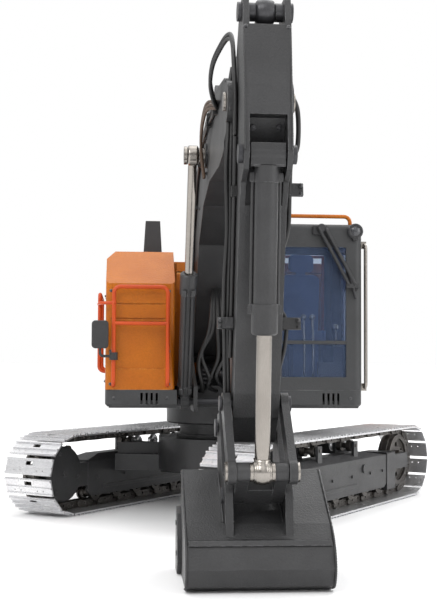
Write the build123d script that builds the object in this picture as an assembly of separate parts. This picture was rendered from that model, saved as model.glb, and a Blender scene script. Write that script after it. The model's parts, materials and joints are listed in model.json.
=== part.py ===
from build123d import *
import math
import os

# One radio controlled excavator, 1/14 of a 36 tonne machine. All sizes in millimetres.
# Machine frame while building: slewing axis at X = 0, Y = 0, front of the house towards -Y,
# cab on the +X side, floor at Z = 0. Everything is shifted by SLEW_X, SLEW_Y when it is saved.
SLEW_X = -13.3
SLEW_Y = 84.4
UNDER_TURN = -35.7
UNDER_SHIFT = 22.8

# Running gear
GAUGE = 186.0
PITCH = 14.5
TEETH = 12
RUN_LINKS = 20
SHOE_WIDTH = 48.0
SHOE_DROP = 5.8
SPROCKET_R = PITCH / (2 * math.sin(math.radians(180 / TEETH)))
AXLE_Z = SPROCKET_R + SHOE_DROP
AXLE_Y = RUN_LINKS * PITCH / 2
RAIL = 2.7
FRAME_Y0 = -113.5
FRAME_Y1 = 98.0

# Digging arm pivots, as (distance ahead of the slewing axis, height)
BOOM_X = -11.0
FOOT = (22.0, 138.0)
NOSE = (352.0, 280.0)
BOOM_CYL_BASE = (90.0, 96.0)
BOOM_CYL_END = (183.0, 279.0)
STICK_CYL_BASE = (193.0, 319.0)
STICK_CYL_END = (380.0, 324.5)
BUCKET_CYL_BASE = (392.0, 242.0)
ROCKER_PIVOT = (338.0, 104.0)
ROD_PIN = (374.0, 67.6)
BUCKET_PIN = (314.0, 88.4)
LINK_PIN = (350.0, 52.0)
BOOM_HALF = 18.0
STICK_HALF = 13.4
CYL_SIDE = 28.2
FIT = 0.06

# House
DECK_Z0 = 91.0
DECK_Z1 = 97.0
BODY_Z0 = 105.5
HOOD_TOP = 219.0
CAB_TOP = 240.0
CAB_X0 = 30.0
CAB_X1 = 104.0
CAB_Y0 = -104.0
CAB_Y1 = 18.0
WALL = 3.0
HINGE_X = CAB_X1 + 1.7
HINGE_Y = -20.0


# Shape helpers
def block(x0, x1, y0, y1, z0, z1):
    return Pos((x0 + x1) / 2, (y0 + y1) / 2, (z0 + z1) / 2) * Box(x1 - x0, y1 - y0, z1 - z0)


def plate(points, x0, x1, radius=0):
    outline = make_face(Polyline(*[(-b, z) for b, z in points], close=True))
    if radius:
        outline = fillet(outline.vertices(), radius)
    return extrude(Plane.YZ.offset(x0) * outline, x1 - x0)


def slab(points, z0, z1, radius=0):
    outline = make_face(Polyline(*points, close=True))
    if radius:
        outline = fillet(outline.vertices(), radius)
    return extrude(Plane.XY.offset(z0) * outline, z1 - z0)


def disc(point, r, x0, x1):
    return Pos((x0 + x1) / 2, -point[0], point[1]) * Rot(0, 90, 0) * Cylinder(r, x1 - x0)


def post(x, y, r, z0, z1):
    return Pos(x, y, (z0 + z1) / 2) * Cylinder(r, z1 - z0)


def pipe(points, r, bend):
    path = FilletPolyline(*points, radius=bend) if len(points) > 2 else Line(*points)
    return sweep((path ^ 0) * Circle(r), path=path)


def both(shape):
    return [shape, mirror(shape, Plane.YZ)]


def save(name, shapes):
    solids = []
    for shape in shapes if isinstance(shapes, list) else [shapes]:
        solids += list(shape.solids())
    placed = [Pos(SLEW_X, SLEW_Y, 0) * solid for solid in solids]
    whole = placed[0] if len(placed) == 1 else Compound(children=placed)
    whole.label = name
    export_step(whole, "parts/" + name + ".step")
    print(name, len(solids))


# Undercarriage: built with the sprockets towards -Y, then turned under the house
def under(shape):
    return Rot(0, 0, UNDER_TURN) * (Pos(0, UNDER_SHIFT, 0) * shape)


def under_sides(shapes):
    return {side: [under(Pos(x, 0, 0) * (s if x > 0 else mirror(s, Plane.YZ))) for s in shapes]
            for side, x in (("left", GAUGE / 2), ("right", -GAUGE / 2))}


def chain_steps():
    steps = []
    y = -AXLE_Y
    z = AXLE_Z - SPROCKET_R
    half = TEETH // 2
    turn = 360 / TEETH
    angles = [0] * RUN_LINKS + [turn * (i + 0.5) for i in range(half)]
    angles += [180] * RUN_LINKS + [180 + turn * (i + 0.5) for i in range(half)]
    for angle in angles:
        dy = PITCH * math.cos(math.radians(angle))
        dz = PITCH * math.sin(math.radians(angle))
        steps.append((y, z, dy, dz, angle))
        y += dy
        z += dz
    return steps


def shoe_shape():
    half = SHOE_WIDTH / 2
    shoe = block(-half, half, -6.9, 6.9, -4.6, -3.3)
    for y in (-5.6, 0.6, 6.0):
        shoe += block(-half, half, y - 0.7, y + 0.5, -SHOE_DROP, -4.55)
    shoe -= block(-3.6, 3.6, -4.4, -1.2, -7, -3)
    for x in (-15, -8.5, 8.5, 15):
        shoe -= Pos(x, 3.2, -4) * Cylinder(0.55, 4)
    for x in (-8, 8):
        shoe -= block(x - 0.3, x + 0.3, -7, 7, -SHOE_DROP - 0.1, -5.2)
    return shoe


def link_shape(x0):
    link = block(x0, x0 + 1.5, -PITCH / 2, PITCH / 2, -3.3, RAIL)
    for y in (-PITCH / 2, PITCH / 2):
        link += Pos(x0 + 0.75, y, 0) * Rot(0, 90, 0) * Cylinder(RAIL, 1.5)
        link -= Pos(x0 + 0.75, y, 0) * Rot(0, 90, 0) * Cylinder(1.65, 2)
    link -= block(x0 - 1, x0 + 3, -PITCH / 2 - 4, -PITCH / 2 + 2.2, -3.4, -2.65)
    link -= block(x0 - 1, x0 + 3, PITCH / 2 - 2.2, PITCH / 2 + 4, -3.4, -2.65)
    link -= Pos(x0 + 0.75, 0, 0.2) * Rot(0, 90, 0) * Cylinder(1.2, 2)
    return link


shoe = shoe_shape()
inner_links = both(link_shape(3.0))
outer_links = both(link_shape(4.6))
chain_pin = Rot(0, 90, 0) * Cylinder(1.6, 12.6)
shoes = []
links = []
pins = []
for number, (y, z, dy, dz, angle) in enumerate(chain_steps()):
    middle = Pos(0, y + dy / 2, z + dz / 2) * Rot(angle, 0, 0)
    shoes.append(middle * shoe)
    links += [middle * s for s in (inner_links if number % 2 else outer_links)]
    pins.append(Pos(0, y, z) * chain_pin)
shoe_sides = under_sides(shoes)
link_sides = under_sides(links)
pin_sides = under_sides(pins)
save("left_track_shoes", shoe_sides["left"])
save("right_track_shoes", shoe_sides["right"])
save("chain_links", link_sides["left"] + link_sides["right"])
save("chain_pins", pin_sides["left"] + pin_sides["right"])

# Sprocket: twelve teeth standing between the chain pins
sprocket_at = (AXLE_Y, AXLE_Z)
idler_at = (-AXLE_Y, AXLE_Z)
tooth = make_face(Polyline((-3.4, 22), (-2.9, 26), (-1.2, 30), (1.2, 30), (2.9, 26), (3.4, 22), close=True))
tooth = extrude(Plane.YZ.offset(-2.3) * tooth, 4.6)
sprocket = Rot(0, 90, 0) * Cylinder(24.0, 4.6)
for i in range(TEETH):
    sprocket += Rot(360 / TEETH * (i + 0.5), 0, 0) * tooth
sprocket += Rot(0, 90, 0) * Cylinder(13.0, 14.0)
sprocket -= Rot(0, 90, 0) * Cylinder(5.0 + FIT, 20)
for i in range(6):
    sprocket -= Rot(60 * i, 0, 0) * (Pos(0, 0, 18.5) * Rot(0, 90, 0) * Cylinder(2.2, 20))
sprocket_sides = under_sides([Pos(0, -AXLE_Y, AXLE_Z) * sprocket])
save("left_sprocket", sprocket_sides["left"])
save("right_sprocket", sprocket_sides["right"])

# Idler: plain tread for the rails with a middle flange between the links
idler = Rot(0, 90, 0) * Cylinder(24.0, 12.2)
idler += Rot(0, 90, 0) * Cylinder(25.6, 5.0)
for x in (-6.1, 6.1):
    idler -= Pos(x, 0, 0) * Rot(0, 90, 0) * (Cylinder(20.0, 5.0) - Cylinder(9.0, 5.0))
for i in range(6):
    idler -= Rot(60 * i, 0, 0) * (Pos(0, 0, 14.5) * Rot(0, 90, 0) * Cylinder(2.6, 20))
idler += Rot(0, 90, 0) * Cylinder(9.0, 17.0)
idler -= Rot(0, 90, 0) * Cylinder(4.0 + FIT, 20)
idler_sides = under_sides([Pos(0, AXLE_Y, AXLE_Z) * idler])
save("left_idler", idler_sides["left"])
save("right_idler", idler_sides["right"])

# Side frames: an upside-down channel with sloped top and roller saddles
side_outline = [(-FRAME_Y0, 16), (-FRAME_Y0, 43), (-FRAME_Y0 - 22, 47.5), (-55, 47.5), (-FRAME_Y1, 42), (-FRAME_Y1, 16),
                (-FRAME_Y1 + 6, 12.5), (-FRAME_Y0 - 6, 12.5)]
track_frame = plate(side_outline, -13, 13, 1.5)
lower_channel = [(-FRAME_Y0 + 5, 5), (-FRAME_Y0 + 5, 22), (-FRAME_Y0 - 8, 24), (-FRAME_Y1 + 8, 24), (-FRAME_Y1 - 5, 22),
                 (-FRAME_Y1 - 5, 5)]
track_frame -= plate(lower_channel, -10.5, 10.5)
ridge = make_face(Polyline((-13.2, 42), (-13.2, 49), (13.2, 49), (13.2, 42), (7, 47.5), (-7, 47.5), close=True))
track_frame -= Plane.XZ.offset(-FRAME_Y1 - 1) * extrude(ridge, FRAME_Y1 - FRAME_Y0 + 2)
track_frame += Pos(12.5, 46, 33) * Rot(0, 90, 0) * Cylinder(4.0, 3.4)
track_frame += block(-13.8, -12.9, -92, 84, 18, 21)
track_frame += block(12.9, 13.8, -92, 30, 18, 21)
for y in (-100, -60, -20, 20, 60, 88):
    for x in (-13.2, 13.2):
        track_frame += Pos(x, y, 28) * Rot(0, 90, 0) * Cylinder(1.3, 1.6)
roller_y = [-96 + 31 * i for i in range(7)]
carrier_y = (-39, 34)
carrier_z = AXLE_Z + SPROCKET_R - RAIL - 5.05
for y in carrier_y:
    for x in (-9.2, 9.2):
        track_frame += block(x - 1.2, x + 1.2, y - 4, y + 4, 44, carrier_z + 4)
        track_frame -= Pos(x, y, carrier_z) * Rot(0, 90, 0) * Cylinder(1.52, 6)
frame_sides = under_sides([track_frame])
save("left_track_frame", frame_sides["left"])
save("right_track_frame", frame_sides["right"])

# Rollers, seven below and two above on each side
roller_z = SHOE_DROP + RAIL + 5.05 + 0.2
roller = Rot(0, 90, 0) * Cylinder(5.05, 14.0)
roller -= Rot(0, 90, 0) * (Cylinder(6, 5.4) - Cylinder(4.2, 5.4))
for x in (-7.4, 7.4):
    roller += Pos(x, 0, 0) * Rot(0, 90, 0) * Cylinder(6.6, 1.6)
roller += Rot(0, 90, 0) * Cylinder(3.0, 21.0)
rollers = under_sides([Pos(0, y, roller_z) * roller for y in roller_y])
save("lower_rollers", rollers["left"] + rollers["right"])
carrier = Rot(0, 90, 0) * Cylinder(2.4, 15.9)
for x in (-4.6, 4.6):
    carrier += Pos(x, 0, 0) * Rot(0, 90, 0) * Cylinder(5.0, 4.2)
carrier += Rot(0, 90, 0) * Cylinder(1.5, 22.0)
carriers = under_sides([Pos(0, y, carrier_z) * carrier for y in carrier_y])
save("carrier_rollers", carriers["left"] + carriers["right"])

# Drive housings: round inner cover, axle and outer cap around each sprocket
drive = Pos(-10.2, 0, 0) * Rot(0, 90, 0) * Cylinder(23.0, 5.4)
drive = fillet(drive.edges().group_by(Axis.X)[0], 1.6)
for i in range(3):
    drive += Rot(120 * i + 20, 0, 0) * (Pos(-12.9, 0, 18) * Rot(0, 90, 0) * Cylinder(1.3, 1.4))
drive += Pos(-13.1, 0, 0) * Rot(0, 90, 0) * Cylinder(2.2, 1.6)
drive += Rot(0, 90, 0) * Cylinder(5.0, 20.0)
drive += Pos(9.6, 0, 0) * Rot(0, 90, 0) * Cylinder(15.0, 4.2)
drive = Pos(0, -AXLE_Y, AXLE_Z) * drive
drive += block(-12.9, -8.0, -AXLE_Y + 12, FRAME_Y0, AXLE_Z - 12, AXLE_Z + 8)
drive += block(8.0, 11.7, -AXLE_Y + 8, FRAME_Y0, AXLE_Z - 9, AXLE_Z + 6)
drives = under_sides([drive])
save("drive_housings", drives["left"] + drives["right"])

# Idler yokes with their axles
yoke = block(-13.6, 13.6, FRAME_Y1, FRAME_Y1 + 20, 9, 44)
yoke = fillet(yoke.edges().filter_by(Axis.Y), 1.5)
for x in (-13.0, 9.2):
    yoke += block(x, x + 3.8, FRAME_Y1 + 19, AXLE_Y + 6, AXLE_Z - 7, AXLE_Z + 7)
yoke += Pos(0, AXLE_Y, AXLE_Z) * Rot(0, 90, 0) * Cylinder(4.0, 26.0)
yokes = under_sides([yoke])
save("idler_yokes", yokes["left"] + yokes["right"])

# Middle of the undercarriage: round hub with four box legs
chassis = post(0, 0, 57, 34, 62)
for x in (-1, 1):
    for y in (-58, 58):
        end_x = x * (GAUGE / 2 - 13)
        end_y = y + UNDER_SHIFT
        leg = slab([(0, -17 if y < 0 else 17), (end_x, end_y - 17), (end_x, end_y + 17), (x * 20, y * 0.2)], 32, 46)
        chassis += leg
        root = slab([(x * 12, y * 0.5), (x * 50, end_y * 0.8), (end_x, end_y - 13), (end_x, end_y + 13)], 45, 56)
        chassis += root
chassis += block(-46, 46, -30, 62, 30, 40)
chassis -= post(0, 0, 20.5, 50, 70)
save("chassis_frame", Rot(0, 0, UNDER_TURN) * chassis)
ring = post(0, 0, 38, 62, 74)
ring += post(0, 0, 41, 62, 65)
ring += post(0, 0, 40, 71.5, 74)
ring -= post(0, 0, 20 + FIT, 60, 76)
save("slew_ring", ring)

# Slewing drum under the deck
drum = post(0, 0, 50, 74.3, DECK_Z0)
drum = chamfer(drum.edges().group_by(Axis.Z)[0], 1.2)
drum += post(0, 0, 20, 63, 75)
for i in range(16):
    drum -= Rot(0, 0, 22.5 * i) * post(46.5, 0, 1.1, 70, 76)
save("slew_drum", drum)

# Deck with the two bracket plates that carry the arm
deck = slab([(-100, -101), (-46, -101), (-46, -60), (28, -60), (28, -101), (101, -101), (101, 128), (-100, 128)],
            DECK_Z0, DECK_Z1)
bracket = [(-22, 95), (-20, 118), (10, 148), (34, 148), (52, 128), (102, 108), (102, 88), (63, 88), (54, 94)]
for x0, x1 in ((BOOM_X - 21.5, BOOM_X - 18.5), (BOOM_X + 18.5, BOOM_X + 21.5)):
    deck += plate(bracket, x0, x1, 2)
    deck += disc(FOOT, 11, x0 - 1 if x0 < BOOM_X else x0, x1 if x0 < BOOM_X else x1 + 1)
    deck += disc(BOOM_CYL_BASE, 7.5, x0, x1)
deck += block(BOOM_X - 18.6, BOOM_X + 18.6, -70, -66, 90, 108)
deck -= disc(FOOT, 3.0, BOOM_X - 40, BOOM_X + 40)
deck -= disc(BOOM_CYL_BASE, 2.5, BOOM_X - 40, BOOM_X + 40)
for x, y in ((-80, -80), (-80, 100), (80, 100), (80, -80), (0, 100), (60, 40), (-60, 40)):
    deck -= post(x, y, 1.6, 90, 98)
save("slew_platform", deck)
foot_pin = disc(FOOT, 3.0, BOOM_X - 25, BOOM_X + 25)
base_pin = disc(BOOM_CYL_BASE, 2.5, BOOM_X - 32.2, BOOM_X + 32.2)
for x in (-25.6, 24.2):
    foot_pin += disc(FOOT, 5.2, BOOM_X + x, BOOM_X + x + 1.4)
for x in (-33.6, 32.0):
    base_pin += disc(BOOM_CYL_BASE, 4.2, BOOM_X + x, BOOM_X + x + 1.6)
save("platform_pins", [foot_pin, base_pin])

# Skirt round the deck edge, open at the arm
skirt_outline = [(-103, -104), (CAB_X1, -104), (CAB_X1, 131), (-103, 131)]
skirt = slab(skirt_outline, 92, BODY_Z0, 7)
skirt = chamfer(skirt.edges().group_by(Axis.Z)[0], 2.0)
skirt -= block(-100, 101, -101, 128, 80, 120)
skirt -= block(-46, 28, -120, -90, 80, 120)
for x in (-74, -70, -66, -62, 72, 76, 80, 84):
    skirt -= block(x - 0.9, x + 0.9, -110, -95, 94, 103)
save("lower_skirt", skirt)

# Right-hand body: tool box, tank and sloping hood in one moulding
body_side = [(104, BODY_Z0), (104, 190), (66, HOOD_TOP), (-21.5, HOOD_TOP), (-21.5, BODY_Z0)]
tool_box = plate(body_side, -103, -48)
slope = tool_box.edges().filter_by(Axis.Y).sort_by(Axis.Z)[-2:]
tool_box = chamfer(slope.sort_by(Axis.X)[0], 7)
tool_box = fillet(tool_box.edges().filter_by(Axis.Z).group_by(Axis.Y)[0], 4)
hollow = [(101.5, BODY_Z0 - 1), (101.5, 188.6), (65, HOOD_TOP - 2.5), (-19, HOOD_TOP - 2.5), (-19, BODY_Z0 - 1)]
tool_box -= chamfer(plate(hollow, -100.5, -50.5).edges().filter_by(Axis.Y).sort_by(Axis.Z)[-2:].sort_by(Axis.X)[0], 6)
tool_box -= block(-97, -54, -105, -102.9, 122, 160)
tool_box -= block(-99, -52, -105, -103.3, 161.4, 162.4)
tool_box -= block(-99, -52, -105, -103.3, 173.2, 174.2)
tool_box += block(-48.2, -44, -40, 21.5, 170, 212)
save("tool_box", tool_box)

# Engine cover behind cab and arm, with louvres
cover_side = [(-22, BODY_Z0), (-22, HOOD_TOP - 26), (-26, HOOD_TOP), (-130, HOOD_TOP), (-130, BODY_Z0)]
cover = plate(cover_side, -103, CAB_X1)
cover = chamfer(cover.edges().filter_by(Axis.Y).group_by(Axis.Z)[-1], 7)
cover -= block(-100.5, CAB_X1 - 2.5, 24.5, 127.5, BODY_Z0 - 1, HOOD_TOP - 9)
for i in range(7):
    for x in (-103, CAB_X1):
        cover -= block(x - 1, x + 1, 60, 110, 150 + 6 * i, 152.4 + 6 * i)
    cover -= block(-60, 40, 60 + 7 * i, 63 + 7 * i, HOOD_TOP - 1, HOOD_TOP + 1)
save("engine_cover", cover)

# Counterweight: one heavy casting with rounded tail
tail = slab([(-103, 131), (CAB_X1, 131), (CAB_X1, 178), (70, 216), (-69, 216), (-103, 178)], DECK_Z1 - 4, 196)
tail = fillet(tail.edges().filter_by(Axis.Z).sort_by(Axis.Y)[-4:], 22)
tail = fillet(tail.edges().group_by(Axis.Z)[-1].sort_by(Axis.Y)[2:], 5)
tail -= block(-60, 61, 200, 230, 118, 128)
for x in (-55, 56):
    tail += Pos(x, 185, 196) * Rot(0, 90, 0) * (Cylinder(7, 5) - Cylinder(3.5, 6))
save("counterweight", tail)

# Hidden working parts on the deck
battery = block(-40, 42, 66, 118, DECK_Z1, 138)
battery = fillet(battery.edges().filter_by(Axis.X), 4)
save("battery_pack", battery)
control = block(52, 92, 60, 118, DECK_Z1, 116)
for x in (60, 68, 76, 84):
    control += block(x - 2.5, x + 2.5, 108, 118, 116, 121)
save("control_unit", control)
pump = post(-11, 9, 12.6, DECK_Z1, 168)
for i in range(7):
    pump += post(-11, 9, 12.9, 136 + 4 * i, 138 + 4 * i) - post(-11, 9, 11, 130, 170)
for i in range(6):
    pump -= post(-11, 9, 14, 138 + 4 * i, 140 + 4 * i) - post(-11, 9, 11.2, 130, 170)
pump += block(-20, -2, 0, 18, 168, 172)
save("pump_unit", pump)

# Exhaust box
stack = Pos(-63.5, 12, HOOD_TOP) * loft([Rectangle(17, 13), Pos(0, 0, 35) * Rectangle(13, 10)])
stack -= Pos(-63.5, 12, HOOD_TOP + 30) * Box(9.5, 6.5, 20)
stack += block(-73.5, -53.5, 4, 20, HOOD_TOP, HOOD_TOP + 1.5)
save("exhaust_stack", stack)

# Cab shell with window openings
cab = block(CAB_X0, CAB_X1, CAB_Y0, CAB_Y1, BODY_Z0, CAB_TOP)
cab = fillet(cab.edges().filter_by(Axis.Z), 6)
cab = fillet(cab.edges().group_by(Axis.Z)[-1], 4)
inside = block(CAB_X0 + WALL, CAB_X1 - WALL, CAB_Y0 + WALL, CAB_Y1 - WALL, BODY_Z0 + WALL, CAB_TOP - WALL)
cab -= fillet(inside.edges().filter_by(Axis.Z), 3)
cab -= block(38, 90.5, CAB_Y0 - 1, CAB_Y0 + WALL + 1, 116, 221)
cab += block(37, 91.5, CAB_Y0 + 0.4, CAB_Y0 + 2.6, 142.6, 145.4)
cab -= block(CAB_X0 - 1, CAB_X0 + WALL + 1, -90, 0, 150, 226)
cab -= block(40, 94, CAB_Y1 - WALL - 1, CAB_Y1 + 1, 152, 226)
cab -= block(48, 86, -75, -20, CAB_TOP - WALL - 1, CAB_TOP + 1)
cab -= block(CAB_X1 - WALL - 1, CAB_X1 + 1, -92, -20, 110, 228)
for z in (132, 196):
    cab += block(CAB_X1 - 1, HINGE_X + 0.6, HINGE_Y + 1.0, -13, z, z + 6)
    cab += post(HINGE_X, HINGE_Y, 1.3, z, z + 6)
save("cab_frame", cab)
panes = [block(38, 90.5, CAB_Y0 + 0.8, CAB_Y0 + 2.0, 116, 142.6),
         block(38, 90.5, CAB_Y0 + 0.8, CAB_Y0 + 2.0, 145.4, 221),
         block(CAB_X0 + 0.8, CAB_X0 + 2.0, -90, 0, 150, 226),
         block(40, 94, CAB_Y1 - 2.0, CAB_Y1 - 0.8, 152, 226),
         block(48, 86, -75, -20, CAB_TOP - 2.2, CAB_TOP - 1.0)]
save("cab_windows", panes)
door = block(CAB_X1 - WALL, CAB_X1, -91.6, -20.4, 110.4, 227.6)
door -= block(CAB_X1 - WALL - 1, CAB_X1 + 1, -86, -26, 146, 222)
door += block(CAB_X1 - 0.2, CAB_X1 + 1.6, -88, -78, 136, 140)
for z in (132, 196):
    door += block(CAB_X1 - 0.2, HINGE_X + 0.6, -27, HINGE_Y - 0.6, z - 6, z - 0.4)
    door += post(HINGE_X, HINGE_Y, 1.3, z - 6, z - 0.4)
save("cab_door", door)
save("door_window", block(CAB_X1 - 2.2, CAB_X1 - 1.0, -86, -26, 146, 222))

# Cab interior
SEAT_RISE = 24.0
seat = block(50, 84, -52, -14, 120, 131)
seat = fillet(seat.edges().filter_by(Axis.Z), 5)
back = fillet(Box(32, 9, 56).edges().filter_by(Axis.Y), 5)
head = fillet(Box(21, 8, 15).edges().filter_by(Axis.Y), 4)
lean = Pos(67, -13, 127) * Rot(8, 0, 0)
back = lean * Pos(0, 4, 26) * back
head = lean * Pos(0, 4, 64) * head
neck = lean * Pos(0, 4, 54) * Box(8, 4, 10)
seat = Pos(0, 0, SEAT_RISE) * (seat + back + head + neck)
seat += block(56, 78, -46, -20, BODY_Z0 + WALL, 121 + SEAT_RISE)
save("seat", seat)
consoles = []
for x in (39, 87):
    box = block(x, x + 9, -64, -18, BODY_Z0 + WALL, 142)
    box = fillet(box.edges().filter_by(Axis.X), 3)
    consoles.append(box)
consoles.append(block(70, 88, -95, -84, BODY_Z0 + WALL, 128))
save("side_consoles", consoles)
levers = []
for x in (61, 68.5):
    lever = pipe([(x, -74, BODY_Z0 + WALL + 1), (x, -76, 140), (x, -70, 164)], 1.1, 8)
    lever += post(x, -74, 3.0, BODY_Z0 + WALL, BODY_Z0 + WALL + 4)
    levers.append(lever + Pos(x, -70, 165.5) * Sphere(2.6))
for x in (43.5, 91.5):
    levers.append(post(x, -52, 1.0, 142, 156) + Pos(x, -52, 158) * Sphere(2.8))
save("control_levers", levers)

# Small fittings on the house
lamp = Pos(97.5, -106.5, 234) * Rot(90, 0, 0) * Cylinder(5.6, 5)
lamp += Pos(97.5, -106.5, 228) * Box(4, 4, 3)
lamp -= Pos(97.5, -109.2, 234) * Rot(90, 0, 0) * Cylinder(4.6, 1.4)
save("work_lamp", lamp)
wiper = block(63, 75, -107.4, CAB_Y0, 231, 238)
wiper += pipe([(68, -106.6, 234), (94, -106.6, 188)], 0.9, 0)
wiper += pipe([(72, -106.6, 234), (97, -106.6, 192)], 0.9, 0)
wiper += Pos(96, -106.4, 189) * Rot(0, 28, 0) * Box(8, 2.2, 3)
save("wiper", wiper)
rail = pipe([(107.5, -93, 224), (107.5, -99, 224), (107.5, -99, 108), (107.5, -93, 108)], 1.5, 3.5)
rail += block(CAB_X1, 109, -95, -91, 105, 111)
rail += block(CAB_X1, 109, -95, -91, 221, 227)
save("cab_handrail", rail)
roof = pipe([(95, -97, CAB_TOP - 1), (95, -97, CAB_TOP + 7), (40, -97, CAB_TOP + 7), (40, -97, CAB_TOP - 1)], 1.6, 5)
roof += pipe([(40, -97, CAB_TOP + 7), (40, -40, CAB_TOP + 7), (40, -40, CAB_TOP - 1)], 1.6, 5)
roof -= block(CAB_X0, CAB_X1, CAB_Y0, CAB_Y1, 200, CAB_TOP)
save("roof_rail", roof)
box_rail = pipe([(-96.4, -104, 109), (-96.4, -110, 109), (-96.4, -110, 187), (-53.8, -110, 187), (-53.8, -110, 109),
                 (-53.8, -104, 109)], 1.6, 5)
box_rail += pipe([(-96.4, -110, 158), (-53.8, -110, 158)], 1.5, 0)
side_rail = pipe([(-103, -86, 120), (-108, -86, 120), (-108, -86, 182), (-108, 8, 182), (-108, 8, 120),
                  (-103, 8, 120)], 1.6, 4)
side_rail += pipe([(-108, -86, 150), (-108, 8, 150)], 1.5, 0)
box_rail += side_rail + pipe([(-96.4, -110, 174), (-108, -110, 174), (-108, -86, 174)], 1.3, 8)
box_rail += Pos(-96.4, -110, 174) * Sphere(2.1) + Pos(-108, -86, 174) * Sphere(2.1)
save("tool_box_rail", box_rail)
mirror_head = block(-113.6, -100.4, -116.6, -112.6, 138, 160)
mirror_head = fillet(mirror_head.edges().filter_by(Axis.Y), 3)
mirror_head = fillet(mirror_head.edges().group_by(Axis.Y)[0], 1)
arm = pipe([(-107, -114, 150), (-107, -114, 132), (-98.6, -111.8, 132)], 1.1, 3)
clamp = post(-96.4, -110, 3.4, 129, 135) - post(-96.4, -110, 1.6, 120, 140)
save("mirror", mirror_head + arm + clamp)

# Boom: welded box of bent shape with a forked nose
boom_top = [(12, 142), (30, 205), (62, 252), (104, 288), (150, 304), (200, 309), (290, 305), (330, 300)]
boom_low = [(326, 257), (290, 253), (211, 256), (150, 247), (100, 222), (66, 179), (33, 132)]
boom = plate(boom_top + boom_low, BOOM_X - BOOM_HALF, BOOM_X + BOOM_HALF, 4)
core_top = [(22, 150), (36, 202), (66, 248), (106, 284), (150, 300.5), (200, 305.5), (290, 301.5), (345, 296)]
core_low = [(345, 262), (290, 256.5), (211, 259.5), (149, 250.5), (98, 225), (62, 181), (38, 148)]
boom -= plate(core_top + core_low, BOOM_X - BOOM_HALF + 3, BOOM_X + BOOM_HALF - 3)
for x0, x1 in ((BOOM_X - BOOM_HALF, BOOM_X - 13.8), (BOOM_X + 13.8, BOOM_X + BOOM_HALF)):
    boom += plate([(300, 303.5), (350, 292), (363, 285), (363, 273), (350, 268), (300, 254.5)], x0, x1, 3)
    boom += disc(NOSE, 12, x0 - (1.2 if x0 < BOOM_X - 15 else 0), x1 + (0 if x0 < BOOM_X - 15 else 1.2))
boom += disc(FOOT, 11, BOOM_X - BOOM_HALF, BOOM_X + BOOM_HALF)
boom += disc(BOOM_CYL_END, 9, BOOM_X - BOOM_HALF - 1.5, BOOM_X + BOOM_HALF + 1.5)
ear = [(172, 300), (183, 322), (190, 328), (199, 328), (206, 320), (226, 302)]
for x in (-13.2, 9.2):
    boom += plate(ear, BOOM_X + x, BOOM_X + x + 4, 3)
boom -= disc(NOSE, 3.0, BOOM_X - 40, BOOM_X + 40)
boom -= disc(FOOT, 3.0 + FIT, BOOM_X - 40, BOOM_X + 40)
boom -= disc(BOOM_CYL_END, 1.6, BOOM_X - 40, BOOM_X + 40)
boom -= disc(STICK_CYL_BASE, 2.5, BOOM_X - 40, BOOM_X + 40)
save("boom", boom)


def capped_pin(point, r, half, cap_r, cap):
    pin = disc(point, r, BOOM_X - half, BOOM_X + half)
    pin += disc(point, cap_r, BOOM_X - half - cap, BOOM_X - half)
    return pin + disc(point, cap_r, BOOM_X + half, BOOM_X + half + cap)


nose_pin = capped_pin(NOSE, 3.0, 19.4, 5.5, 1.6)
lift_pin = capped_pin(BOOM_CYL_END, 1.6, 32.5, 6.6, 2.2)
for x0, x1 in ((BOOM_X - 23.9, BOOM_X - 19.5), (BOOM_X + 19.5, BOOM_X + 23.9)):
    lift_pin += disc(BOOM_CYL_END, 5.8, x0, x1)
ear_pin = capped_pin(STICK_CYL_BASE, 2.5, 13.4, 4.4, 1.8)
save("boom_pins", [nose_pin, lift_pin, ear_pin])


# Hydraulic cylinders: built along +Z from the base pin, pin along X
def tube_z(r, z0, z1):
    return Pos(0, 0, (z0 + z1) / 2) * Cylinder(r, z1 - z0)


def cylinder_place(base, end, x):
    direction = (0, -(end[0] - base[0]), end[1] - base[1])
    return Plane(origin=(x, -base[0], base[1]), x_dir=(1, 0, 0), z_dir=direction).location


def barrel_shape(length, r, bore, rod, eye, width, pin, port_turns):
    shape = tube_z(r, eye, length)
    shape += tube_z(r + 0.5, eye, eye + 9)
    shape += tube_z(r + 0.9, length - 17, length)
    shape = chamfer(shape.edges().group_by(Axis.Z)[-1], 1.0)
    shape += Rot(0, 90, 0) * Cylinder(eye, width)
    shape += Pos(0, 0, eye / 2) * Box(width, eye * 1.7, eye + 1)
    for turn in port_turns:
        for z in (eye + 6, length - 14):
            shape += Rot(0, 0, turn) * (Pos(0, -r - 0.6, z) * Box(3.4, 4.2, 5))
        line = Pos(0, -r - 1.2, (length + eye - 8) / 2) * Cylinder(1.0, length - eye - 19)
        shape += Rot(0, 0, turn) * line
    shape -= tube_z(bore, eye + 5, length - 6)
    shape -= tube_z(rod + 0.3, length - 8, length + 2)
    shape -= Rot(0, 90, 0) * Cylinder(pin + FIT, 80)
    return shape


def rod_shape(distance, length, bore, rod, eye, width, hole):
    shape = tube_z(bore - 0.3, distance - length, distance - length + 8)
    shape += tube_z(rod, distance - length + 7, distance - 3)
    knob = Rot(0, 90, 0) * Cylinder(eye, width)
    knob = fillet(knob.edges().filter_by(GeomType.CIRCLE), 1.8)
    shape += Pos(0, 0, distance) * knob
    shape -= Pos(0, 0, distance) * Rot(0, 90, 0) * Cylinder(hole, width + 4)
    return shape


def span(base, end):
    return math.hypot(end[0] - base[0], end[1] - base[1])


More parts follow.
